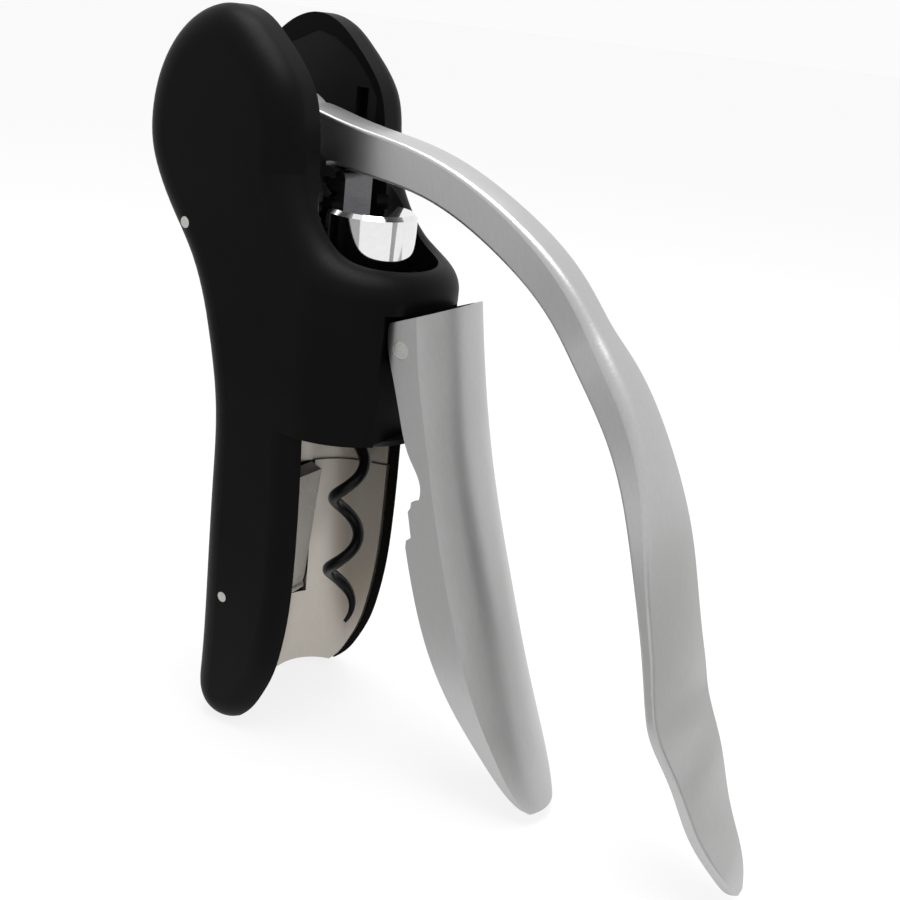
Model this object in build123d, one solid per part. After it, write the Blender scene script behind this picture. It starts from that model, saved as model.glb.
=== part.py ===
from build123d import *
import math
import os

os.makedirs("parts", exist_ok=True)

# Vertical lever corkscrew. Millimetres, +Z up along the bottle axis.
# z = 0 is the plane where the bottle lip seats, the levers are on the -Y side
# and the two cheeks of the body are at +X and -X.

# Clearances
running = 0.05
fit_gap = 0.03
loose_gap = 0.1
free_gap = 0.3
far = 60.0

# Bottle neck liner and the sleeve above it
liner_inner_half = 15.7
liner_sheet = 1.2
liner_back_y = 19.2
liner_corner_radius = 10.0
liner_bottom_z = -67.8
liner_setback = 3.2
liner_setdown = 1.3
seam_z = -14.6
seam_slope = -0.14
sleeve_setback = 2.0
sleeve_sheet = 0.6
window_half = 11.0
plate_half_width = 10.5
neck_plate_sheet = 1.2
neck_plate_top_y = 16.0
neck_plate_top_z = -18.8
neck_plate_flange = 2.4
neck_plate_bend = 0.8
curl_y = 19.2
curl_z = -48.4
curl_radius = 1.1
curl_room_height = 8.0
neck_pin_radius = 0.5
neck_pin_half = 12.8

# Body: two cheeks with round heads, joined by a back spine and a front collar
cheek_thickness = 2.85
body_edge_radius = 6.0
collar_bottom_z = 1.0
collar_front_y = -17.5
collar_depth = 16.0
collar_cap_z = 56.5
collar_edge_radius = 5.8
collar_rim_back_y = 5.5
mouth_floor_z = 29.6
mouth_radius = 13.6
mouth_back_y = 4.2
mouth_corner_radius = 3.0
bore_radius = 11.8
bore_top_z = 44.0
head_slot = 20.0
slot_front_y = -5.0
slot_front_z = 29.5
slot_back_z = 41.5
slot_gear_room = 1.2

# Side outline of a cheek: round the head, down the back, under the foot and up the front
cheek_points = [
    (5.5, 52.0), (6.0, 58.0), (7.4, 63.2), (10.4, 67.6), (14.4, 71.6), (18.8, 75.0), (24.0, 76.5),
    (29.3, 75.3), (34.2, 72.0), (38.1, 67.2), (40.7, 61.5), (41.9, 55.6), (41.7, 49.6), (39.7, 43.8),
    (35.3, 36.6), (30.7, 30.0), (25.0, 14.0), (22.9, 2.0), (22.8, -14.0), (23.3, -38.0), (24.0, -58.4),
    (23.6, -65.2), (20.8, -68.9), (16.7, -70.1), (12.5, -68.9), (8.2, -65.3), (4.7, -59.6), (2.3, -54.2),
    (0.55, -47.6), (-0.75, -39.4), (-1.4, -29.4), (-1.55, -19.5), (-1.45, -9.0), (-1.1, 1.0),
]
cheek_front_middle = (-0.6, 15.0)

# Top edge of the collar in the side view, from the nose up into the cheeks
collar_top_points = [
    (-24.0, 33.5), (-14.6, 33.7), (-9.5, 33.9), (-6.2, 34.6), (-3.6, 35.8), (-1.2, 37.8),
    (0.9, 40.2), (2.7, 42.9), (4.3, 46.0), (5.6, 49.6), (6.8, 54.0), (7.5, 57.5),
]

# Hinge lug for the clamp handle under the collar's nose
nose_under_z = 26.4
recess_y = -13.0
recess_bottom_z = -4.0
recess_half_width = 12.4
lug_half_width = 8.0
lug_radius = 4.0
lug_root = 0.8
spring_slot = 9.0
spring_slot_reach = 9.0
spring_slot_root = 0.4
spring_turns = 6
spring_pitch = 1.35
spring_wire_radius = 0.42
spring_coil_radius = 2.6

# Lever, its axle and the toothed drive
pivot_y = 22.0
pivot_z = 50.5
axle_radius = 3.5
axle_half = 16.4
teeth_per_turn = 24
tooth_module = 1.25
addendum = 1.15
dedendum = 1.5
backlash = 0.3
pressure_angle = 20.0
gear_tooth_count = 13
gear_plate_sheet = 2.3
gear_hub_radius = 8.0
gear_rivet_radius = 1.2
gear_rivet_circle = 10.4
gear_rivet_angles = (215, 270, 325)
tongue_half = 1.9
tongue_radius = 12.5
spacer_radius = 6.0
lever_travel_up = 177.0

# Lever stations: outer edge line in the side view, then thickness, half width, crown and edge radius
lever_stations = [
    (16.7, 60.2, 8.0, 4.5, 0.4, 0.6),
    (9.5, 59.0, 8.0, 4.4, 0.4, 0.6),
    (1.0, 57.4, 8.0, 4.4, 0.4, 0.6),
    (-13.6, 54.9, 7.4, 4.3, 0.3, 0.7),
    (-29.2, 48.7, 7.0, 4.1, 0.3, 0.9),
    (-43.7, 39.1, 6.8, 4.2, 0.3, 1.5),
    (-54.7, 27.0, 6.6, 4.9, 0.7, 2.2),
    (-62.7, 16.2, 6.2, 6.0, 0.7, 2.2),
    (-67.4, 6.0, 5.0, 7.8, 0.5, 1.6),
    (-70.4, -4.0, 3.4, 10.2, 0.5, 1.0),
    (-73.1, -14.0, 2.6, 11.1, 0.5, 0.8),
    (-76.3, -26.0, 2.2, 11.9, 0.5, 0.7),
    (-81.3, -39.0, 2.1, 11.0, 0.5, 0.7),
    (-86.5, -49.5, 2.1, 9.0, 0.4, 0.7),
    (-90.7, -57.0, 2.1, 6.8, 0.3, 0.7),
    (-93.7, -61.6, 2.0, 4.8, 0.2, 0.6),
    (-95.0, -64.2, 1.8, 3.0, 0.1, 0.5),
    (-95.6, -65.5, 1.4, 1.4, 0.05, 0.4),
]
lever_inner_edge = 0.6
lever_hub_room = 0.2

# Carriage: polished bearing housing on a crosshead, with the rack at its back
housing_radius = 8.8
housing_top_z = 42.6
housing_chamfer = 0.8
crosshead_bottom_z = 9.0
crosshead_height = 8.0
crosshead_radius = 9.6
key_depth = 2.8
key_y = 12.0
key_end_gap = 0.2
rack_half_width = 4.3
rack_front_y = 3.65
rack_prong_y = 4.5
rack_prong_inner = 2.2
rack_prong_top_z = 20.0
rack_top_z = 49.3
rack_top_radius = 1.6
rack_bottom_z = 2.2
rack_screw_z = 39.5
rack_screw_radius = 1.2
rack_screw_head = 1.8
rack_screw_head_height = 1.2
rack_screw_depth = 3.0
rack_head_y = 5.2
cross_screw_x = 6.6
cross_screw_radius = 1.1
cross_screw_head = 1.9
cross_screw_sink = 1.3
cross_screw_end = 24.0
hub_radius = 3.9
bush_radius = 2.35
washer_thickness = 0.95

# Steel frame plates in the cheeks, with the keys' slots, and the rivets that hold them
plate_sheet = 2.4
plate_edge_radius = 2.0
plate_points = [
    (8.4, 4.2), (8.4, 62.0), (10.6, 65.4), (14.6, 69.4), (19.5, 72.2), (24.0, 73.2), (31.0, 70.2),
    (36.0, 62.0), (36.6, 54.0), (34.8, 47.0), (31.4, 37.5), (27.1, 29.0), (19.8, 16.0), (19.8, 4.2),
]
key_slot_foot = 3.0
rivet_radius = 1.1
upper_rivet_y = 29.3
upper_rivet_z = 36.4
upper_rivet_sink = 0.2
lower_rivet_y = 15.6
lower_rivet_z = -38.9
lower_rivet_bite = 0.8

# Worm: right-handed, wound from coated wire
worm_wire_radius = 1.25
worm_coil_radius = 2.88
worm_lead = 16.6
worm_tip_z = -45.2
worm_tip_angle = 247.1
worm_top_z = 9.2
worm_point_turn = 0.38
worm_point_radius = 0.4
worm_collar_step = 0.22
worm_collar_drop = 0.6
worm_collar_rise = 0.3
shank_radius = 1.7
shank_top_z = 36.2
clip_z = 34.3
clip_thickness = 0.8
clip_groove = 0.4

# Lip stop, its screws and the nut
nut_thickness = 5.4
nut_radius = 6.0
nut_thread_gap = 0.22
nut_flat_reach = 10.0
stop_thickness = 1.0
stop_top_z = 6.0
stop_screw_x = 13.4
stop_screw_radius = 1.0
stop_screw_length = 8.0
stop_screw_head = 1.7
stop_screw_head_height = 0.6

# Clamp handle: a pressed sheet with a crowned front, by horizontal sections of
# height, crown, rim and half width
handle_pivot_y = -16.5
handle_pivot_z = 20.4
handle_pin_radius = 1.7
handle_pin_half = 10.3
handle_sheet = 1.4
handle_stations = [
    (34.0, -23.9, -17.9, 10.5),
    (20.0, -26.2, -20.3, 10.5),
    (10.0, -28.2, -22.6, 10.5),
    (-1.0, -30.9, -25.5, 10.5),
    (-14.0, -35.0, -29.2, 10.5),
    (-26.0, -39.2, -33.3, 10.6),
    (-38.0, -43.4, -38.0, 10.6),
    (-48.0, -47.2, -42.8, 10.1),
    (-56.0, -50.6, -47.2, 9.0),
    (-61.5, -52.9, -50.3, 7.8),
    (-65.0, -54.4, -52.5, 6.3),
    (-67.0, -55.3, -53.9, 4.8),
]
handle_solid_half = 5.0
handle_depth = 16.0
handle_hollow_depth = 24.0
handle_upper_edge = [
    (-13.5, 24.9), (-13.7, 20.4), (-15.4, 15.0), (-18.0, 7.2), (-20.8, 0.6), (-23.4, -3.2), (-23.8, -7.4),
]
handle_claws = [
    (-23.8, -7.4), (-22.2, -8.1), (-22.2, -9.2), (-21.7, -10.2), (-23.0, -15.2), (-22.0, -16.1), (-22.0, -17.6),
]
handle_lower_edge = [
    (-22.0, -17.6), (-23.7, -22.9), (-30.0, -38.0), (-36.5, -48.0), (-43.0, -56.0), (-49.5, -64.0),
    (-57.5, -75.0),
]
handle_front_y = -80.0
handle_front_z = 52.5
pad_top_z = -3.0
pad_bottom_z = -21.0
pad_back_y = -25.0
pad_depth = 10.0
pad_hollow_radius = 16.0
pad_hollow_depth = 2.2

# Sizes that follow from the ones above
liner_outer_half = liner_inner_half + liner_sheet
liner_outer_y = liner_back_y + liner_sheet
body_half_width = liner_outer_half + loose_gap + cheek_thickness
rivet_end = body_half_width + running
plate_inner_x = head_slot / 2 + loose_gap
plate_outer_x = plate_inner_x + plate_sheet
stop_flange_radius = liner_inner_half - free_gap
crosshead_half_width = head_slot / 2 - free_gap
crosshead_top_z = crosshead_bottom_z + crosshead_height
worm_collar_radius = worm_coil_radius + worm_wire_radius + worm_collar_step
worm_collar_top_z = worm_top_z + worm_wire_radius + worm_collar_rise
bush_bottom_z = crosshead_top_z + washer_thickness + 3 * running
bush_top_z = clip_z - loose_gap
gear_inner_x = tongue_half + loose_gap
gear_outer_x = gear_inner_x + gear_plate_sheet
pitch_radius = teeth_per_turn * tooth_module / 2
pitch_y = pivot_y - pitch_radius
tooth_pitch = math.pi * tooth_module
gear_outer = pitch_radius + addendum
gear_root = pitch_radius - dedendum
carriage_travel = pitch_radius * math.radians(lever_travel_up)
key_slot_top_z = crosshead_top_z + carriage_travel + free_gap
rack_slot_front = rack_prong_y - free_gap
rack_slot_back = pitch_y + addendum + free_gap
gear_rivet_spots = []
for degrees in gear_rivet_angles:
    turn = math.radians(degrees)
    gear_rivet_spots.append((pivot_y + gear_rivet_circle * math.cos(turn),
                             pivot_z + gear_rivet_circle * math.sin(turn)))


def side_plane(x):
    """Drawing plane seen from the side: local x is +Y and local y is +Z."""
    return Plane(origin=(x, 0, 0), x_dir=(0, 1, 0), z_dir=(1, 0, 0))


def slab(face, x_low, x_high):
    """Extrude a face drawn on the side plane from x_low to x_high."""
    return extrude(side_plane(x_low) * face, amount=x_high - x_low)


def box(x0, x1, y0, y1, z0, z1):
    return Pos((x0 + x1) / 2, (y0 + y1) / 2, (z0 + z1) / 2) * Box(x1 - x0, y1 - y0, z1 - z0)


def rod_x(radius, x0, x1, y, z):
    """A round rod along X."""
    return Pos((x0 + x1) / 2, y, z) * Rot(0, 90, 0) * Cylinder(radius, x1 - x0)


def rod_z(radius, z0, z1, x=0, y=0):
    """A round rod along Z."""
    return Pos(x, y, (z0 + z1) / 2) * Cylinder(radius, z1 - z0)


def rod_y(radius, y0, y1, z):
    """A round rod along Y."""
    return Pos(0, (y0 + y1) / 2, z) * Rot(90, 0, 0) * Cylinder(radius, y1 - y0)


def both_sides(solid):
    """The solid and its mirror image across the middle plane."""
    return [solid, mirror(solid, about=Plane.YZ)]


def save(name, *solids):
    flat = []
    for solid in solids:
        flat += list(solid) if isinstance(solid, list) else [solid]
    solids = [Solid(one.wrapped) for shape in flat for one in shape.solids()]
    shape = flat[0] if len(flat) == 1 else Compound(children=solids)
    export_step(shape, f"parts/{name}.step")
    print(name, round(sum(f.volume for f in flat), 1))


# Side faces of a cheek and of a frame plate
def cheek_outline():
    edge = Spline(*cheek_points)
    front = Spline(edge @ 1, cheek_front_middle, edge @ 0, tangents=[edge % 1, edge % 0])
    return make_face([edge, front])


def plate_outline(grow=0.0):
    """Side outline of a steel frame plate, grown by a clearance."""
    face = fillet(make_face(Polyline(*plate_points, close=True)).vertices(), plate_edge_radius)
    return offset(face, amount=grow) if grow else face


def neck_channel(half, back, radius):
    """Plan of the neck's channel: straight sides, open in front, with a round back."""
    plan = Pos(0, back - far / 2) * Rectangle(2 * half, far)
    return fillet(plan.vertices().sort_by(Axis.Y)[-2:], radius)


def above_seam(gap):
    """Everything above the slanted seam between the liner and the sleeve, less a gap."""
    front_z = seam_z - seam_slope * far + gap
    back_z = seam_z + seam_slope * far + gap
    points = [(-far, front_z), (far, back_z), (far, far), (-far, far)]
    return slab(make_face(Polyline(*points, close=True)), -far, far)


outline = cheek_outline()


def make_shell():
    cheeks = slab(outline, -body_half_width, body_half_width)
    rims = cheeks.faces().filter_by(Axis.X)
    cheeks = fillet([e for f in rims for e in f.edges()], body_edge_radius)

    # Collar: elliptic at the front, its top rising from the nose into the cheeks' front edges
    plan = Ellipse(body_half_width, -collar_front_y)
    plan += Pos(0, collar_depth / 2) * Rectangle(2 * body_half_width, collar_depth)
    collar = extrude(Pos(0, 0, collar_bottom_z) * plan, amount=collar_cap_z - collar_bottom_z)
    first = collar_top_points[0]
    last = collar_top_points[-1]
    cap = Polyline(last, (first[0], last[1]), first)
    collar -= slab(make_face([Spline(*collar_top_points), cap]), -far, far)
    rim = []
    for edge in collar.edges():
        if edge.bounding_box().min.Z > collar_bottom_z + 1 and edge.center().Y < collar_rim_back_y:
            rim.append(edge)
    shell = cheeks + fillet(rim, collar_edge_radius)

    # Slot between the cheeks, open at the front, the top and the back of the head
    half_slot = head_slot / 2
    shell -= box(-half_slot, half_slot, slot_front_y, pivot_y, slot_front_z, 2 * far)
    shell -= box(-half_slot, half_slot, pivot_y, far, slot_back_z, 2 * far)
    shell -= rod_x(gear_outer + slot_gear_room, -half_slot, half_slot, pivot_y, pivot_z)

    # Bore for the carriage and the drawn cork, wider at the mouth
    shell -= rod_z(bore_radius, collar_bottom_z - 1, bore_top_z)
    mouth = Circle(mouth_radius) & Pos(0, mouth_back_y - far / 2) * Rectangle(far, far)
    mouth = fillet(mouth.vertices(), mouth_corner_radius)
    shell -= extrude(Pos(0, 0, mouth_floor_z) * mouth, amount=far)
    back_room = key_y + key_depth / 2 + free_gap
    shell -= box(-half_slot, half_slot, 0, back_room, crosshead_bottom_z - key_slot_foot, bore_top_z)

    # Pockets for the steel frame plates and the ends of the lever axle
    pocket = slab(plate_outline(fit_gap), half_slot - loose_gap, plate_outer_x + fit_gap)
    shell -= pocket
    shell -= mirror(pocket, about=Plane.YZ)
    shell -= rod_x(axle_radius + fit_gap, -axle_half - fit_gap, axle_half + fit_gap, pivot_y, pivot_z)

    # Cage below the collar, open at the front and below, for the bottle neck
    corner_radius = liner_corner_radius + liner_sheet
    cage = neck_channel(liner_outer_half + loose_gap, liner_outer_y + fit_gap, corner_radius)
    shell -= extrude(Pos(0, 0, collar_bottom_z - 2 * far) * cage, amount=2 * far)
    shell -= box(-liner_outer_half, liner_outer_half, 0, far, -2 * far, liner_bottom_z)
    curl_room = curl_radius + free_gap
    shell -= box(-window_half, window_half, curl_y - 2 * curl_room, curl_y + curl_room,
                 curl_z - curl_room, curl_z + curl_room_height)
    shell -= rod_x(neck_pin_radius + fit_gap, -neck_pin_half - fit_gap, neck_pin_half + fit_gap, curl_y, curl_z)

    # Recess under the nose for the clamp handle, with its hinge lug
    shell -= box(-recess_half_width, recess_half_width, -far, recess_y, recess_bottom_z, nose_under_z)
    lug = rod_x(lug_radius, -lug_half_width, lug_half_width, handle_pivot_y, handle_pivot_z)
    lug += box(-lug_half_width, lug_half_width, handle_pivot_y, recess_y + lug_root,
               handle_pivot_z - lug_radius, handle_pivot_z + lug_radius)
    lug -= box(-spring_slot / 2, spring_slot / 2,
               handle_pivot_y - spring_slot_reach, recess_y - spring_slot_root,
               handle_pivot_z - spring_slot_reach, handle_pivot_z + spring_slot_reach)
    lug -= rod_x(handle_pin_radius + running, -far, far, handle_pivot_y, handle_pivot_z)
    shell += lug

    # Holes for the rivets and the two screws of the lip stop
    for x0, x1 in ((-far, -plate_inner_x), (plate_inner_x, far)):
        shell -= rod_x(rivet_radius + fit_gap, x0, x1, upper_rivet_y, upper_rivet_z)
        shell -= rod_x(rivet_radius + fit_gap, x0, x1, lower_rivet_y, lower_rivet_z)
    for x in (-stop_screw_x, stop_screw_x):
        shell -= rod_z(stop_screw_radius + fit_gap, -1, stop_screw_length + fit_gap, x)
    return shell


save("body_shell", make_shell())


# Bottle neck liner, its sleeve and the spring plate behind the neck
def neck_liner():
    sides = slab(Pos(liner_setback, -liner_setdown) * outline, -liner_outer_half, liner_outer_half)
    shape = neck_channel(liner_outer_half, liner_outer_y, liner_corner_radius + liner_sheet)
    liner = sides & extrude(Pos(0, 0, liner_bottom_z) * shape, amount=-liner_bottom_z)
    inside = neck_channel(liner_inner_half, liner_back_y, liner_corner_radius)
    liner -= extrude(Pos(0, 0, liner_bottom_z - 1) * inside, amount=far * 2)
    liner -= above_seam(0)
    liner -= box(-window_half, window_half, curl_y - liner_corner_radius / 2, far,
                 curl_z - curl_radius - free_gap, 0)
    for side in (-1, 1):
        hole_end = side * (liner_outer_half - lower_rivet_bite - fit_gap)
        liner -= rod_x(rivet_radius + fit_gap, min(hole_end, side * far), max(hole_end, side * far),
                       lower_rivet_y, lower_rivet_z)
    return liner - rod_x(neck_pin_radius + fit_gap, -far, far, curl_y, curl_z)


def collar_sleeve():
    top = collar_bottom_z - loose_gap
    outside = neck_channel(liner_outer_half, liner_outer_y, liner_corner_radius + liner_sheet)
    inside = neck_channel(liner_outer_half - sleeve_sheet, liner_outer_y - sleeve_sheet,
                          liner_corner_radius + liner_sheet - sleeve_sheet)
    sleeve = extrude(Pos(0, 0, top - far) * (outside - inside), amount=far)
    sleeve &= box(-far, far, sleeve_setback, far, -far, top)
    return sleeve & above_seam(running)


def neck_plate():
    front = Polyline(
        (curl_y, curl_z + 0.4),
        (curl_y - 0.6, curl_z + 3.0),
        (neck_plate_top_y, neck_plate_top_z),
        (neck_plate_top_y + neck_plate_flange, neck_plate_top_z + neck_plate_bend),
    )
    profile = trace(front, line_width=neck_plate_sheet) + Pos(curl_y, curl_z) * Circle(curl_radius)
    plate = slab(profile, -plate_half_width, plate_half_width)
    return plate - rod_x(neck_pin_radius + running, -far, far, curl_y, curl_z)


save("neck_liner", neck_liner())
save("collar_sleeve", collar_sleeve())
save("neck_plate", neck_plate())
save("neck_plate_pin", rod_x(neck_pin_radius, -neck_pin_half, neck_pin_half, curl_y, curl_z))


# Steel frame inside the cheeks, riveted to the shell
def frame_plate():
    plate = slab(plate_outline(), plate_inner_x, plate_outer_x)
    slot_low = key_y - key_depth / 2 - running
    slot_high = key_y + key_depth / 2 + running
    plate -= box(0, far, slot_low, slot_high, crosshead_bottom_z - key_slot_foot, key_slot_top_z)
    plate -= rod_x(axle_radius + fit_gap, 0, far, pivot_y, pivot_z)
    return plate - rod_x(rivet_radius + fit_gap, 0, far, upper_rivet_y, upper_rivet_z)


right_plate = frame_plate()
save("frame_plate_right", right_plate)
save("frame_plate_left", mirror(right_plate, about=Plane.YZ))
upper_rivet = rod_x(rivet_radius, plate_inner_x, rivet_end - upper_rivet_sink, upper_rivet_y, upper_rivet_z)
lower_rivet = rod_x(rivet_radius, liner_outer_half - lower_rivet_bite, rivet_end, lower_rivet_y, lower_rivet_z)
save("upper_rivets", both_sides(upper_rivet))
save("lower_rivets", both_sides(lower_rivet))


# Lip stop under the bore, its screws and the threaded nut that drives the worm
def worm_angle(z):
    return worm_tip_angle + 360 * (z - worm_tip_z) / worm_lead


def coil(wire_radius, z0, z1):
    """A round wire wound as a right-handed helix about Z, starting at the worm's angle."""
    path = Helix(pitch=worm_lead, height=z1 - z0, radius=worm_coil_radius)
    start = Plane(origin=path @ 0, z_dir=path % 0)
    wire = sweep(start * Circle(wire_radius), path=path, is_frenet=True)
    return Pos(0, 0, z0) * Rot(0, 0, worm_angle(z0)) * wire


def lip_stop():
    stop = rod_z(stop_flange_radius, 0, stop_thickness)
    stop += rod_z(bore_radius - running, 0, stop_top_z)
    stop -= rod_z(nut_radius + fit_gap, -1, stop_top_z + 1)
    half = rack_half_width + free_gap
    stop -= box(-half, half, rack_slot_front, rack_slot_back, -1, stop_top_z + 1)
    for x in (-stop_screw_x, stop_screw_x):
        stop -= rod_z(stop_screw_radius + fit_gap, -1, stop_top_z, x)
        stop -= rod_z(stop_screw_head + fit_gap, -1, stop_screw_head_height, x)
    return stop


def worm_nut():
    bottom = stop_top_z - nut_thickness
    nut = rod_z(nut_radius, bottom, stop_top_z)
    nut -= coil(worm_wire_radius + nut_thread_gap, bottom - 3, stop_top_z + 3)
    flat = box(rack_prong_inner - free_gap, nut_flat_reach, rack_slot_front, nut_flat_reach, -1, stop_top_z + 1)
    nut -= flat
    return nut - mirror(flat, about=Plane.YZ)


stop_screw = rod_z(stop_screw_radius, running, stop_screw_length, stop_screw_x)
stop_screw += rod_z(stop_screw_head, running, stop_screw_head_height - fit_gap, stop_screw_x)
save("lip_stop", lip_stop())
save("stop_screws", both_sides(stop_screw))
save("worm_nut", worm_nut())


# Worm: the coil with a ground point, its collar and hub, and its shank
def worm():
    point_height = worm_lead * worm_point_turn
    path = Helix(pitch=worm_lead, height=point_height, radius=worm_coil_radius)
    sharp = Plane(origin=path @ 0, z_dir=path % 0) * Circle(worm_point_radius)
    full = Plane(origin=path @ 1, z_dir=path % 1) * Circle(worm_wire_radius)
    point = sweep([sharp.face(), full.face()], path=path, is_frenet=True, multisection=True)
    body = Pos(0, 0, worm_tip_z) * Rot(0, 0, worm_tip_angle) * point
    body += coil(worm_wire_radius, worm_tip_z + point_height, worm_top_z)
    body += rod_z(worm_collar_radius, worm_top_z - worm_collar_drop, worm_collar_top_z)
    body += rod_z(hub_radius, worm_top_z, crosshead_top_z - loose_gap)
    body += rod_z(shank_radius, worm_top_z, shank_top_z)
    groove = rod_z(shank_radius + 1, clip_z - fit_gap, clip_z + clip_thickness + fit_gap)
    return body - (groove - rod_z(shank_radius - clip_groove, 0, shank_top_z + 1))


save("worm", worm())
clip = rod_z(bush_radius - 3 * running, clip_z, clip_z + clip_thickness)
clip -= rod_z(shank_radius - clip_groove + fit_gap, 0, shank_top_z)
save("shank_clip", clip)
washer = rod_z(hub_radius, crosshead_top_z + running, crosshead_top_z + running + washer_thickness)
washer -= rod_z(shank_radius + running, 0, bush_bottom_z + 1)
save("thrust_washer", washer)
bush = rod_z(bush_radius, bush_bottom_z, bush_top_z)
bush -= rod_z(shank_radius + running, 0, bush_top_z + 1)
save("housing_bush", bush)


# Carriage: crosshead on keys in the frame plates, polished housing above it, rack behind
def crosshead():
    z0 = crosshead_bottom_z
    z1 = crosshead_top_z
    wide = crosshead_half_width
    key = plate_outer_x - key_end_gap
    head = rod_z(crosshead_radius, z0, z1)
    head += box(-wide, wide, 0, key_y + key_depth / 2, z0, z1)
    head += box(-key, key, key_y - key_depth / 2, key_y + key_depth / 2, z0, z1)
    slot = rack_half_width + free_gap
    head -= box(-slot, slot, rack_slot_front, far, z0 - 1, z1 + 1)
    head -= rod_z(hub_radius + running, z0 - 1, z1 + 1)
    head -= rod_z(worm_collar_radius + 3 * running, z0 - 1, worm_collar_top_z + loose_gap)
    for x in (-cross_screw_x, cross_screw_x):
        head -= rod_z(cross_screw_radius + fit_gap, z0 - 1, z1 + 1, x)
        head -= rod_z(cross_screw_head + fit_gap, z0 - 1, z0 + cross_screw_sink, x)
    return head


def bearing_housing():
    z0 = crosshead_top_z
    housing = rod_z(housing_radius, z0, housing_top_z)
    housing = chamfer(housing.edges().group_by(Axis.Z)[-1], housing_chamfer)
    groove = rack_half_width + fit_gap
    housing -= box(-groove, groove, rack_front_y - fit_gap, far, z0 - 1, housing_top_z + 1)
    housing -= rod_z(hub_radius + fit_gap, z0 - 1, bush_bottom_z)
    housing -= rod_z(bush_radius + fit_gap, z0, shank_top_z + 1)
    for x in (-cross_screw_x, cross_screw_x):
        housing -= rod_z(cross_screw_radius + fit_gap, z0 - 1, cross_screw_end + fit_gap, x)
    return housing - rod_y(rack_screw_radius + fit_gap, -rack_screw_depth - fit_gap, far, rack_screw_z)


def carriage_rack():
    root_y = pitch_y - dedendum
    profile = Pos((rack_front_y + root_y) / 2, (rack_top_z + rack_bottom_z) / 2)
    profile *= Rectangle(root_y - rack_front_y, rack_top_z - rack_bottom_z)
    half = (tooth_pitch - backlash) / 4
    slope = math.tan(math.radians(pressure_angle))
    tip = half - addendum * slope
    root = half + (dedendum + 0.01) * slope
    for k in range(1, gear_tooth_count):
        z = pivot_z - k * tooth_pitch
        corners = [
            (root_y - 0.01, z - root),
            (pitch_y + addendum, z - tip),
            (pitch_y + addendum, z + tip),
            (root_y - 0.01, z + root),
        ]
        profile += make_face(Polyline(*corners, close=True))
    rack = slab(profile, -rack_half_width, rack_half_width)
    rack &= box(-far, far, 0, far, rack_bottom_z, rack_top_z)
    top_edges = rack.edges().filter_by(Axis.X).group_by(Axis.Z)[-1]
    rack = fillet(top_edges.sort_by(Axis.Y)[0], rack_top_radius)
    rack -= box(-rack_prong_inner, rack_prong_inner, 0, far, 0, rack_prong_top_z)
    rack -= box(-far, far, 0, rack_prong_y, 0, rack_prong_top_z)
    rack -= rod_y(rack_screw_radius + fit_gap, 0, far, rack_screw_z)
    return rack - rod_y(rack_screw_head + fit_gap, rack_head_y, far, rack_screw_z)


cross_screw = rod_z(cross_screw_radius, crosshead_bottom_z + loose_gap, cross_screw_end, cross_screw_x)
cross_screw += rod_z(cross_screw_head, crosshead_bottom_z + loose_gap,
                     crosshead_bottom_z + cross_screw_sink - running, cross_screw_x)
rack_screw = rod_y(rack_screw_radius, -rack_screw_depth, rack_head_y, rack_screw_z)
rack_screw += rod_y(rack_screw_head, rack_head_y, rack_head_y + rack_screw_head_height, rack_screw_z)
save("crosshead", crosshead())
save("crosshead_screws", both_sides(cross_screw))
save("bearing_housing", bearing_housing())
save("carriage_rack", carriage_rack())
save("rack_screw", rack_screw)


# Gear plates on the lever: a hub and a toothed sector below the pivot
def gear_tooth(centre):
    """Face of one involute tooth, centred on an angle in degrees in the side view."""
    base = pitch_radius * math.cos(math.radians(pressure_angle))
    half_at_pitch = (tooth_pitch - backlash) / 4 / pitch_radius
    start = math.radians(pressure_angle)
    flank = []
    for i in range(5):
        radius = base + (gear_outer - base) * i / 4
        roll = math.acos(base / radius)
        half = half_at_pitch + (math.tan(start) - start) - (math.tan(roll) - roll)
        flank.append((radius, half))
    flank.insert(0, (gear_root - 0.3, flank[0][1]))

    def spot(radius, angle):
        turn = math.radians(centre) + angle
        return (pivot_y + radius * math.cos(turn), pivot_z + radius * math.sin(turn))

    one = [spot(r, a) for r, a in flank]
    other = [spot(r, -a) for r, a in flank]
    edges = [
        Line(one[0], one[1]),
        Spline(*one[1:]),
        ThreePointArc(one[-1], spot(gear_outer, 0), other[-1]),
        Spline(*other[:0:-1]),
        Line(other[1], other[0]),
        Line(other[0], one[0]),
    ]
    return make_face(edges)


def gear_plate():
    first = 180 + 180 / teeth_per_turn
    span = 360 / teeth_per_turn * gear_tooth_count
    centre = Pos(pivot_y, pivot_z)
    past = math.radians(span - 180)
    start = (gear_root, 0)
    middle = (gear_root * math.cos(past / 2), gear_root * math.sin(past / 2))
    end = (gear_root * math.cos(past), gear_root * math.sin(past))
    wedge = make_face([Line(end, (0, 0)), Line((0, 0), start), ThreePointArc(start, middle, end)])
    sector = Circle(gear_root) & Pos(0, -gear_outer) * Rectangle(2 * gear_outer, 2 * gear_outer)
    face = centre * sector + centre * wedge + centre * Circle(gear_hub_radius)
    for k in range(gear_tooth_count):
        face += gear_tooth(first + k * 360 / teeth_per_turn)
    plate = slab(face, gear_inner_x, gear_outer_x)
    plate -= rod_x(axle_radius + running, 0, far, pivot_y, pivot_z)
    for y, z in gear_rivet_spots:
        plate -= rod_x(gear_rivet_radius + fit_gap, 0, far, y, z)
    return plate


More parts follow.
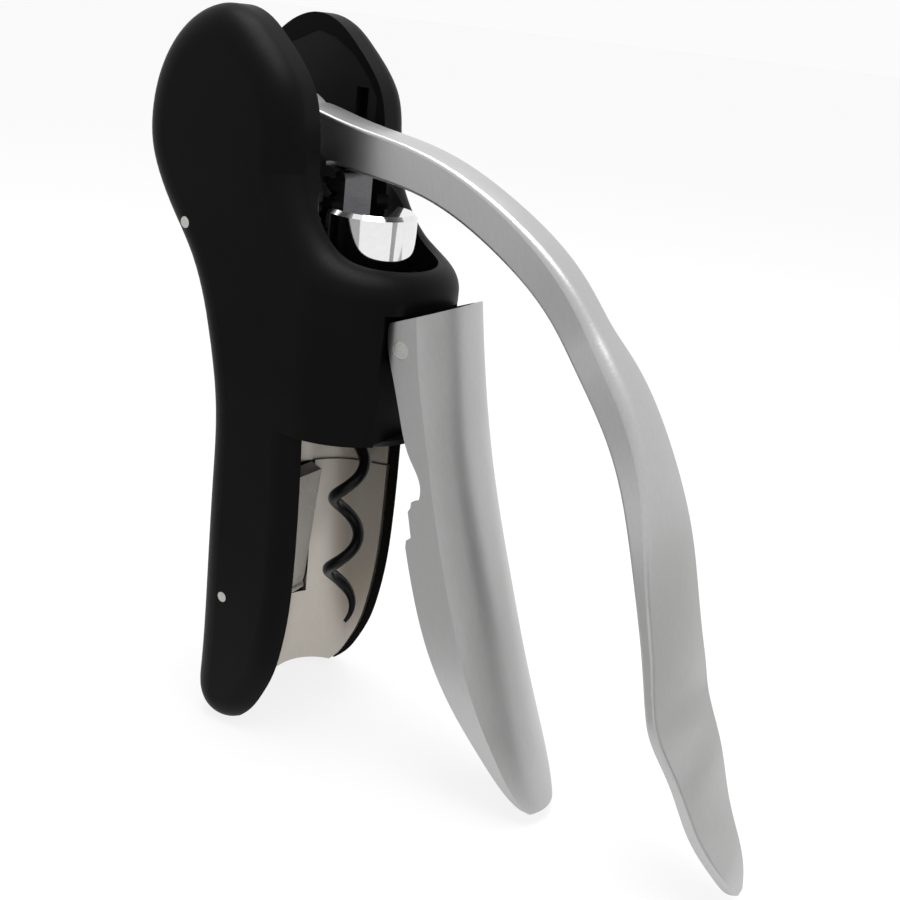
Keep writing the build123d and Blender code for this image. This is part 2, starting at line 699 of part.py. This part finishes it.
save("gear_plates", both_sides(gear_plate()))
save("gear_rivets", [rod_x(gear_rivet_radius, -gear_outer_x, gear_outer_x, y, z) for y, z in gear_rivet_spots])
save("lever_axle", rod_x(axle_radius, -axle_half, axle_half, pivot_y, pivot_z))
spacer = rod_x(spacer_radius, gear_outer_x + loose_gap, plate_inner_x - running, pivot_y, pivot_z)
spacer -= rod_x(axle_radius + fit_gap, 0, far, pivot_y, pivot_z)
save("hub_spacers", both_sides(spacer))


# Lever: a bar that widens into a thin spoon, joined to the axle by a round tongue
def lever_section(half, thick, crown, edge_radius):
    """Section seen along the lever: crowned outside, with softened edges."""
    base = Polyline((half, 0), (half, -thick), (-half, -thick), (-half, 0))
    face = make_face([base, ThreePointArc((-half, 0), (0, crown), (half, 0))])
    corners = face.vertices().sort_by(Axis.Y)
    face = fillet(corners[-2:], edge_radius)
    inner = face.vertices().sort_by(Axis.Y)[:2]
    return fillet(inner, min(lever_inner_edge, thick / 4))


def lever_arm():
    edge_line = Spline(*[station[:2] for station in lever_stations])
    sections = []
    for y, z, thick, half, crown, edge_radius in lever_stations:
        along = edge_line % edge_line.param_at_point((y, z))
        place = Plane(origin=(0, y, z), x_dir=(1, 0, 0), z_dir=(0, along.X, along.Y))
        sections.append(place * lever_section(half, thick, crown, edge_radius))
    arm = loft(sections)
    for x0, x1 in ((-far, -tongue_half), (tongue_half, far)):
        arm -= rod_x(gear_hub_radius + lever_hub_room, x0, x1, pivot_y, pivot_z)
        sweep_room = rod_x(gear_outer + free_gap, x0, x1, pivot_y, pivot_z)
        arm -= sweep_room & box(-far, far, -far, far, -far, pivot_z + lever_hub_room)
    arm += rod_x(tongue_radius, -tongue_half, tongue_half, pivot_y, pivot_z)
    arm -= rod_x(axle_radius + running, -far, far, pivot_y, pivot_z)
    for y, z in gear_rivet_spots:
        arm -= rod_x(gear_rivet_radius + fit_gap, -far, far, y, z)
    return arm


save("lever_arm", lever_arm())


# Clamp handle, its rubber pad, its pin and the spring on it
def handle_block(inset, deep):
    """Solid filling the handle's outer shape, drawn in by an inset all round."""
    sections = []
    for z, crown, ridge, half in handle_stations:
        if inset and half < handle_solid_half:
            break
        w = half - inset
        back = ridge + deep
        base = Polyline((-w, ridge + inset), (-w, back), (w, back), (w, ridge + inset))
        arc = ThreePointArc((w, ridge + inset), (0, crown + inset), (-w, ridge + inset))
        sections.append(Pos(0, 0, z) * make_face([base, arc]))
    return loft(sections)


def clamp_handle():
    upper = Spline(*handle_upper_edge)
    claws = Polyline(*handle_claws)
    lower = Spline(*handle_lower_edge)
    top = handle_upper_edge[0]
    tip = handle_lower_edge[-1]
    front = Polyline(tip, (handle_front_y, tip[1]), (handle_front_y, handle_front_z), top)
    side = slab(make_face([upper, claws, lower, front]), -far, far)
    handle = handle_block(0, handle_depth) - handle_block(handle_sheet, handle_hollow_depth)
    handle &= side
    return handle - rod_x(handle_pin_radius + fit_gap, -far, far, handle_pivot_y, handle_pivot_z)


def grip_pad():
    pad = handle_block(handle_sheet + running, pad_depth)
    pad &= box(-far, far, -far, pad_back_y, pad_bottom_z, pad_top_z)
    hollow_y = pad_back_y + pad_hollow_radius - pad_hollow_depth
    return pad - rod_z(pad_hollow_radius, -far, far, 0, hollow_y)


save("clamp_handle", clamp_handle())
save("grip_pad", grip_pad())
save("handle_pin", rod_x(handle_pin_radius, -handle_pin_half, handle_pin_half, handle_pivot_y, handle_pivot_z))
spring_height = spring_turns * spring_pitch
spring_path = Helix(pitch=spring_pitch, height=spring_height, radius=spring_coil_radius)
spring_start = Plane(origin=spring_path @ 0, z_dir=spring_path % 0)
spring = sweep(spring_start * Circle(spring_wire_radius), path=spring_path, is_frenet=True)
spring = Rot(0, 90, 0) * Pos(0, 0, -spring_height / 2) * spring
save("handle_spring", Pos(0, handle_pivot_y, handle_pivot_z) * spring)
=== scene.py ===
import math
import bpy
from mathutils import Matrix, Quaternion, Vector


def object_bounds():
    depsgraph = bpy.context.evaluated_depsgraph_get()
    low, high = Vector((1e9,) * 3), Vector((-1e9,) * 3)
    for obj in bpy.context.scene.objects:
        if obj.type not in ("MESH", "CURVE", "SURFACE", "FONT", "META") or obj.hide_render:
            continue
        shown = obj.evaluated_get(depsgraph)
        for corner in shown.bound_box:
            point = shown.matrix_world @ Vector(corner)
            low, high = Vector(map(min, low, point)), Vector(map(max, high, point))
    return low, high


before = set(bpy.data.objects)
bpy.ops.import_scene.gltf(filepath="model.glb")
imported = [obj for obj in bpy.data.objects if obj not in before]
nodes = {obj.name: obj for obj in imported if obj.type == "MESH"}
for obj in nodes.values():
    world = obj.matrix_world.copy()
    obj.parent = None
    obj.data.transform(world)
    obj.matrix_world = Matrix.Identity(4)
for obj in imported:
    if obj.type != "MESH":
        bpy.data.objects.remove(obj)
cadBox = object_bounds()
print("frame loaded:", len(nodes), "nodes")

# The camera stands where the photograph was taken from, in metres
cameraView = {
    "place": (-0.18089, -0.13011, 0.07806),
    "azimuth": -59.42,
    "elevation": 20.33,
    "roll": 6.65,
    "lens": 46.28,
}


def makeCamera(view):
    data = bpy.data.cameras.new("photoCamera")
    data.lens = view["lens"]
    data.sensor_width = 36
    camera = bpy.data.objects.new("photoCamera", data)
    bpy.context.scene.collection.objects.link(camera)
    turn = math.radians(view["azimuth"])
    rise = math.radians(view["elevation"])
    back = Vector((math.sin(turn) * math.cos(rise), -math.cos(turn) * math.cos(rise), math.sin(rise)))
    look = (-back).to_track_quat("-Z", "Y")
    camera.rotation_mode = "QUATERNION"
    camera.rotation_quaternion = look @ Quaternion((0, 0, 1), math.radians(view["roll"]))
    camera.location = view["place"]
    bpy.context.scene.camera = camera


makeCamera(cameraView)
print("camera placed")


# Shader building blocks
def startGroup(name, inputs, outputs):
    group = bpy.data.node_groups.new(name, "ShaderNodeTree")
    for label, kind, value in inputs:
        socket = group.interface.new_socket(name=label, in_out="INPUT", socket_type=kind)
        if value is not None:
            socket.default_value = value
    for label, kind in outputs:
        group.interface.new_socket(name=label, in_out="OUTPUT", socket_type=kind)
    enter = group.nodes.new("NodeGroupInput")
    leave = group.nodes.new("NodeGroupOutput")
    return group, enter, leave


def blendRange(tree, source, low, high, fromLow=0.0, fromHigh=1.0):
    step = tree.nodes.new("ShaderNodeMapRange")
    step.inputs["From Min"].default_value = fromLow
    step.inputs["From Max"].default_value = fromHigh
    step.inputs["To Min"].default_value = low
    step.inputs["To Max"].default_value = high
    tree.links.new(source, step.inputs["Value"])
    return step.outputs["Result"]


def makeGrainGroup(look):
    group, enter, leave = startGroup(
        "brushedGrain",
        [("Place", "NodeSocketVector", None), ("Tilt", "NodeSocketFloat", 0.0),
         ("Along", "NodeSocketFloat", 60.0), ("Across", "NodeSocketFloat", 1500.0)],
        [("Lines", "NodeSocketFloat"), ("Height", "NodeSocketFloat")])
    turned = group.nodes.new("ShaderNodeVectorRotate")
    turned.rotation_type = "X_AXIS"
    stretch = group.nodes.new("ShaderNodeCombineXYZ")
    scaled = group.nodes.new("ShaderNodeVectorMath")
    scaled.operation = "MULTIPLY"
    fine = group.nodes.new("ShaderNodeTexNoise")
    fine.inputs["Scale"].default_value = 1.0
    fine.inputs["Detail"].default_value = look["detail"]
    fine.inputs["Roughness"].default_value = look["fade"]
    link = group.links.new
    link(enter.outputs["Place"], turned.inputs["Vector"])
    link(enter.outputs["Tilt"], turned.inputs["Angle"])
    link(enter.outputs["Across"], stretch.inputs["X"])
    link(enter.outputs["Across"], stretch.inputs["Y"])
    link(enter.outputs["Along"], stretch.inputs["Z"])
    link(turned.outputs["Vector"], scaled.inputs[0])
    link(stretch.outputs["Vector"], scaled.inputs[1])
    link(scaled.outputs["Vector"], fine.inputs["Vector"])
    link(blendRange(group, fine.outputs["Fac"], 0.0, 1.0, *look["band"]), leave.inputs["Lines"])
    link(fine.outputs["Fac"], leave.inputs["Height"])
    return group


def makeSmudgeGroup(look):
    group, enter, leave = startGroup(
        "handledSmudges",
        [("Place", "NodeSocketVector", None), ("Size", "NodeSocketFloat", 60.0)],
        [("Mask", "NodeSocketFloat")])
    cloudy = group.nodes.new("ShaderNodeTexNoise")
    cloudy.inputs["Detail"].default_value = look["detail"]
    cloudy.inputs["Distortion"].default_value = look["swirl"]
    link = group.links.new
    link(enter.outputs["Place"], cloudy.inputs["Vector"])
    link(enter.outputs["Size"], cloudy.inputs["Scale"])
    link(blendRange(group, cloudy.outputs["Fac"], 0.0, 1.0, *look["band"]), leave.inputs["Mask"])
    return group


def makeSpeckGroup(look):
    group, enter, leave = startGroup(
        "fineSpecks",
        [("Place", "NodeSocketVector", None), ("Size", "NodeSocketFloat", 2500.0)],
        [("Mask", "NodeSocketFloat"), ("Height", "NodeSocketFloat")])
    specks = group.nodes.new("ShaderNodeTexVoronoi")
    soft = group.nodes.new("ShaderNodeTexNoise")
    soft.inputs["Detail"].default_value = look["detail"]
    both = group.nodes.new("ShaderNodeMath")
    both.operation = "ADD"
    link = group.links.new
    link(enter.outputs["Place"], specks.inputs["Vector"])
    link(enter.outputs["Place"], soft.inputs["Vector"])
    link(enter.outputs["Size"], specks.inputs["Scale"])
    link(enter.outputs["Size"], soft.inputs["Scale"])
    link(specks.outputs["Distance"], both.inputs[0])
    link(soft.outputs["Fac"], both.inputs[1])
    link(both.outputs["Value"], leave.inputs["Height"])
    link(blendRange(group, soft.outputs["Fac"], 0.0, 1.0, *look["band"]), leave.inputs["Mask"])
    return group


# The band is the stretch of the noise that spreads over the whole mask
grainGroup = makeGrainGroup({"detail": 4.0, "fade": 0.65, "band": (0.30, 0.70)})
smudgeGroup = makeSmudgeGroup({"detail": 3.0, "swirl": 0.6, "band": (0.35, 0.68)})
speckGroup = makeSpeckGroup({"detail": 2.0, "band": (0.35, 0.65)})


def startMaterial(name):
    material = bpy.data.materials.new(name)
    material.use_nodes = True
    tree = material.node_tree
    shader = tree.nodes["Principled BSDF"]
    place = tree.nodes.new("ShaderNodeTexCoord").outputs["Object"]
    return material, tree, shader, place


def useGroup(tree, group, place, **values):
    node = tree.nodes.new("ShaderNodeGroup")
    node.node_tree = group
    tree.links.new(place, node.inputs["Place"])
    for label, value in values.items():
        node.inputs[label].default_value = value
    return node


def colourBetween(tree, mask, first, second):
    mix = tree.nodes.new("ShaderNodeMix")
    mix.data_type = "RGBA"
    mix.inputs["A"].default_value = (*first, 1)
    mix.inputs["B"].default_value = (*second, 1)
    tree.links.new(mask, mix.inputs["Factor"])
    return mix.outputs["Result"]


def addBump(tree, shader, height, strength, distance):
    bump = tree.nodes.new("ShaderNodeBump")
    bump.inputs["Strength"].default_value = strength
    bump.inputs["Distance"].default_value = distance
    tree.links.new(height, bump.inputs["Height"])
    tree.links.new(bump.outputs["Normal"], shader.inputs["Normal"])


def brushedMetal(name, v):
    material, tree, shader, place = startMaterial(name)
    shader.inputs["Metallic"].default_value = 1.0
    grain = useGroup(tree, grainGroup, place, Tilt=math.radians(v["tilt"]), Along=v["along"],
                     Across=v["across"])
    smudge = useGroup(tree, smudgeGroup, place, Size=v["smudge"])
    tone = colourBetween(tree, grain.outputs["Lines"], v["dark"], v["light"])
    tree.links.new(tone, shader.inputs["Base Color"])
    rough = blendRange(tree, smudge.outputs["Mask"], *v["rough"])
    tree.links.new(rough, shader.inputs["Roughness"])
    addBump(tree, shader, grain.outputs["Height"], v["bump"], v["depth"])
    return material


def coatedSurface(name, v):
    material, tree, shader, place = startMaterial(name)
    shader.inputs["Specular IOR Level"].default_value = v["gloss"]
    shader.inputs["Metallic"].default_value = v.get("metallic", 0.0)
    specks = useGroup(tree, speckGroup, place, Size=v["specks"])
    smudge = useGroup(tree, smudgeGroup, place, Size=v["smudge"])
    tone = colourBetween(tree, smudge.outputs["Mask"], v["dark"], v["light"])
    tree.links.new(tone, shader.inputs["Base Color"])
    rough = blendRange(tree, specks.outputs["Mask"], *v["rough"])
    tree.links.new(rough, shader.inputs["Roughness"])
    addBump(tree, shader, specks.outputs["Height"], v["bump"], v["depth"])
    return material


def dress(material, *names):
    for name in names:
        piece = nodes[name]
        for socket in piece.material_slots:
            socket.material = material
        if not piece.material_slots:
            piece.data.materials.append(material)


# Body: matte black coat, soft to the touch
shellFinish = {
    "dark": (0.0020, 0.0025, 0.0020), "light": (0.0028, 0.0034, 0.0028),
    "gloss": 0.06, "rough": (0.42, 0.50), "specks": 3200.0, "smudge": 45.0,
    "bump": 0.12, "depth": 0.00004,
}
dress(coatedSurface("softBlackCoat", shellFinish), "body_shell")

# Lever and clamp handle: satin steel
leverFinish = {
    "dark": (0.47, 0.475, 0.47), "light": (0.51, 0.515, 0.51),
    "rough": (0.34, 0.40), "tilt": 20.0, "along": 350.0, "across": 3500.0, "smudge": 50.0,
    "bump": 0.08, "depth": 0.00002,
}
dress(brushedMetal("satinSteel", leverFinish), "lever_arm", "clamp_handle")

# Sheet steel behind the bottle neck
linerFinish = {
    "dark": (0.49, 0.455, 0.41), "light": (0.52, 0.485, 0.44),
    "rough": (0.36, 0.42), "tilt": 0.0, "along": 900.0, "across": 3600.0, "smudge": 70.0,
    "bump": 0.05, "depth": 0.00001,
}
dress(brushedMetal("satinSheet", linerFinish), "neck_liner", "collar_sleeve")
plateFinish = {
    "dark": (0.50, 0.51, 0.52), "light": (0.56, 0.57, 0.58),
    "rough": (0.22, 0.30), "tilt": 0.0, "along": 60.0, "across": 2400.0, "smudge": 90.0,
    "bump": 0.08, "depth": 0.00002,
}
dress(brushedMetal("springPlate", plateFinish), "neck_plate")

# Polished chrome of the bearing housing, rivets and pins
chromeFinish = {
    "dark": (0.80, 0.80, 0.81), "light": (0.84, 0.84, 0.85),
    "rough": (0.03, 0.07), "tilt": 0.0, "along": 900.0, "across": 900.0, "smudge": 160.0,
    "bump": 0.02, "depth": 0.00001,
}
dress(brushedMetal("polishedChrome", chromeFinish), "bearing_housing")
rivetFinish = {
    "dark": (0.60, 0.58, 0.56), "light": (0.70, 0.68, 0.66),
    "rough": (0.22, 0.34), "tilt": 0.0, "along": 2500.0, "across": 2500.0, "smudge": 700.0,
    "bump": 0.10, "depth": 0.00002,
}
dress(brushedMetal("nickelRivet", rivetFinish), "upper_rivets", "lower_rivets", "handle_pin",
      "neck_plate_pin")

# Inner mechanism
toolFinish = {
    "dark": (0.26, 0.26, 0.27), "light": (0.33, 0.33, 0.34),
    "rough": (0.30, 0.42), "tilt": 90.0, "along": 120.0, "across": 2600.0, "smudge": 220.0,
    "bump": 0.12, "depth": 0.00002,
}
dress(brushedMetal("machinedSteel", toolFinish), "gear_plates", "gear_rivets", "lever_axle",
      "rack_screw", "crosshead_screws", "stop_screws")
# Carriage rack: steel colour painted dark, a painted shade standing for the shade under the lever
rackShadedFinish = {
    "dark": (0.10, 0.10, 0.105), "light": (0.14, 0.14, 0.145),
    "rough": (0.28, 0.38), "tilt": 90.0, "along": 200.0, "across": 2600.0, "smudge": 220.0,
    "bump": 0.10, "depth": 0.00002,
}
dress(brushedMetal("shadeDarkenedSteel", rackShadedFinish), "carriage_rack")
castFinish = {
    "dark": (0.34, 0.34, 0.34), "light": (0.42, 0.42, 0.42),
    "gloss": 0.5, "metallic": 1.0, "rough": (0.42, 0.55), "specks": 2600.0, "smudge": 160.0,
    "bump": 0.25, "depth": 0.00005,
}
dress(coatedSurface("castZinc", castFinish), "crosshead", "hub_spacers")
framePlateFinish = {
    "dark": (0.0045, 0.0048, 0.0045), "light": (0.0065, 0.0068, 0.0065),
    "gloss": 0.15, "rough": (0.40, 0.55), "specks": 2200.0, "smudge": 90.0,
    "bump": 0.10, "depth": 0.00003,
}
dress(coatedSurface("blackenedSheet", framePlateFinish), "frame_plate_right", "frame_plate_left")
bronzeFinish = {
    "dark": (0.40, 0.27, 0.13), "light": (0.50, 0.35, 0.18),
    "gloss": 0.5, "metallic": 1.0, "rough": (0.40, 0.52), "specks": 4200.0, "smudge": 300.0,
    "bump": 0.20, "depth": 0.00003,
}
dress(coatedSurface("sinteredBronze", bronzeFinish), "worm_nut", "thrust_washer", "housing_bush")
wireFinish = {
    "dark": (0.46, 0.46, 0.47), "light": (0.56, 0.56, 0.57),
    "rough": (0.20, 0.30), "tilt": 90.0, "along": 800.0, "across": 4200.0, "smudge": 500.0,
    "bump": 0.08, "depth": 0.00001,
}
dress(brushedMetal("springWire", wireFinish), "handle_spring", "shank_clip")

# Worm: slick black coat
wormFinish = {
    "dark": (0.0030, 0.0030, 0.0033), "light": (0.0045, 0.0045, 0.0050),
    "gloss": 0.16, "rough": (0.28, 0.38), "specks": 2600.0, "smudge": 130.0,
    "bump": 0.10, "depth": 0.00002,
}
dress(coatedSurface("slickBlackCoat", wormFinish), "worm")

# Moulded plastic and rubber
plasticFinish = {
    "dark": (0.012, 0.012, 0.012), "light": (0.018, 0.018, 0.018),
    "gloss": 0.4, "rough": (0.38, 0.50), "specks": 1800.0, "smudge": 120.0,
    "bump": 0.18, "depth": 0.00004,
}
dress(coatedSurface("mouldedPlastic", plasticFinish), "lip_stop")
rubberFinish = {
    "dark": (0.016, 0.016, 0.016), "light": (0.024, 0.024, 0.024),
    "gloss": 0.3, "rough": (0.62, 0.74), "specks": 1500.0, "smudge": 120.0,
    "bump": 0.25, "depth": 0.00006,
}
dress(coatedSurface("gripRubber", rubberFinish), "grip_pad")
print("materials on", len(nodes), "nodes")

# Floor, world and lamps
studio = {
    "floorSize": (60.0, 60.0),
    "floorDrop": 0.0002,
    "floorColour": (0.88, 0.88, 0.87),
    "whiteShare": 0.82,
    "matt": {"rough": 0.9, "gloss": 0.1},
    "worldShade": (0.80, 0.80, 0.81),
    "backdropShade": (0.965, 0.965, 0.965),
    "topLamp": {"place": (0.02, -0.05, 0.62), "aim": (0, -0.03, 0), "size": (0.50, 0.40), "power": 5.0},
    "cardLift": 0.0005,
    "frontCard": {"centre": (-0.45, -0.78, 0.03), "size": (1.30, 0.20), "lean": 90.0, "turn": -30.0,
                  "shade": (0.040, 0.033, 0.028)},
    "sideCard": {"centre": (-0.42, 0.18, 0.0), "size": (0.74, 0.56), "lean": 0.0, "turn": 0.0,
                 "shade": (0.38, 0.38, 0.375)},
    "spoonCard": {"centre": (0.10, -0.30, 0.0), "size": (0.44, 0.34), "lean": 0.0, "turn": 0.0,
                  "shade": (0.36, 0.36, 0.35)},
}


def whiteForCamera(tree, plain, white, share, output):
    path = tree.nodes.new("ShaderNodeLightPath")
    first = tree.nodes.new("ShaderNodeMath")
    first.operation = "MAXIMUM"
    second = tree.nodes.new("ShaderNodeMath")
    second.operation = "MAXIMUM"
    part = tree.nodes.new("ShaderNodeMath")
    part.operation = "MULTIPLY"
    part.inputs[1].default_value = share
    mix = tree.nodes.new("ShaderNodeMixShader")
    link = tree.links.new
    link(path.outputs["Is Camera Ray"], first.inputs[0])
    link(path.outputs["Is Glossy Ray"], first.inputs[1])
    link(first.outputs["Value"], second.inputs[0])
    link(path.outputs["Is Transmission Ray"], second.inputs[1])
    link(second.outputs["Value"], part.inputs[0])
    link(part.outputs["Value"], mix.inputs["Fac"])
    link(plain, mix.inputs[1])
    link(white, mix.inputs[2])
    link(mix.outputs["Shader"], output.inputs["Surface"])


def makeSheet(name, size, colour, matt):
    mesh = bpy.data.meshes.new(name)
    wide, high = size[0] / 2, size[1] / 2
    corners = [(-wide, -high, 0), (wide, -high, 0), (wide, high, 0), (-wide, high, 0)]
    mesh.from_pydata(corners, [], [(0, 1, 2, 3)])
    sheet = bpy.data.objects.new(name, mesh)
    bpy.context.scene.collection.objects.link(sheet)
    material = bpy.data.materials.new(name + "Finish")
    material.use_nodes = True
    shader = material.node_tree.nodes["Principled BSDF"]
    shader.inputs["Base Color"].default_value = (*colour, 1)
    shader.inputs["Roughness"].default_value = matt["rough"]
    shader.inputs["Specular IOR Level"].default_value = matt["gloss"]
    mesh.materials.append(material)
    return sheet, material.node_tree


def makeFloor(v, level):
    floor, tree = makeSheet("studioFloor", v["floorSize"], v["floorColour"], v["matt"])
    floor.location.z = level
    glow = tree.nodes.new("ShaderNodeEmission")
    whiteForCamera(tree, tree.nodes["Principled BSDF"].outputs["BSDF"], glow.outputs["Emission"],
                   v["whiteShare"], tree.nodes["Material Output"])


def makeWorld(v):
    world = bpy.data.worlds.new("softStudio")
    world.use_nodes = True
    tree = world.node_tree
    plain = tree.nodes["Background"]
    plain.inputs["Color"].default_value = (*v["worldShade"], 1)
    white = tree.nodes.new("ShaderNodeBackground")
    white.inputs["Color"].default_value = (*v["backdropShade"], 1)
    whiteForCamera(tree, plain.outputs["Background"], white.outputs["Background"], 1.0,
                   tree.nodes["World Output"])
    bpy.context.scene.world = world


def makeLamp(name, v):
    data = bpy.data.lights.new(name, "AREA")
    data.shape = "RECTANGLE"
    data.size, data.size_y = v["size"]
    data.energy = v["power"]
    lamp = bpy.data.objects.new(name, data)
    bpy.context.scene.collection.objects.link(lamp)
    lamp.location = v["place"]
    aim = Vector(v["aim"]) - Vector(v["place"])
    lamp.rotation_euler = aim.to_track_quat("-Z", "Y").to_euler()


def makeCard(name, v, matt, level):
    card, _ = makeSheet(name, v["size"], v["shade"], matt)
    card.location = (v["centre"][0], v["centre"][1], v["centre"][2] + level)
    card.rotation_euler = (math.radians(v["lean"]), 0, math.radians(v["turn"]))
    # Felt that only the metal's reflections see
    card.visible_camera = False
    card.visible_diffuse = False
    card.visible_shadow = False


floorLevel = cadBox[0][2] - studio["floorDrop"]
makeFloor(studio, floorLevel)
makeWorld(studio)
makeLamp("topSoftbox", studio["topLamp"])
for cardName in ("frontCard", "sideCard", "spoonCard"):
    makeCard(cardName, studio[cardName], studio["matt"], floorLevel + studio["cardLift"])
bpy.context.scene.view_settings.view_transform = "Standard"
print("studio set")
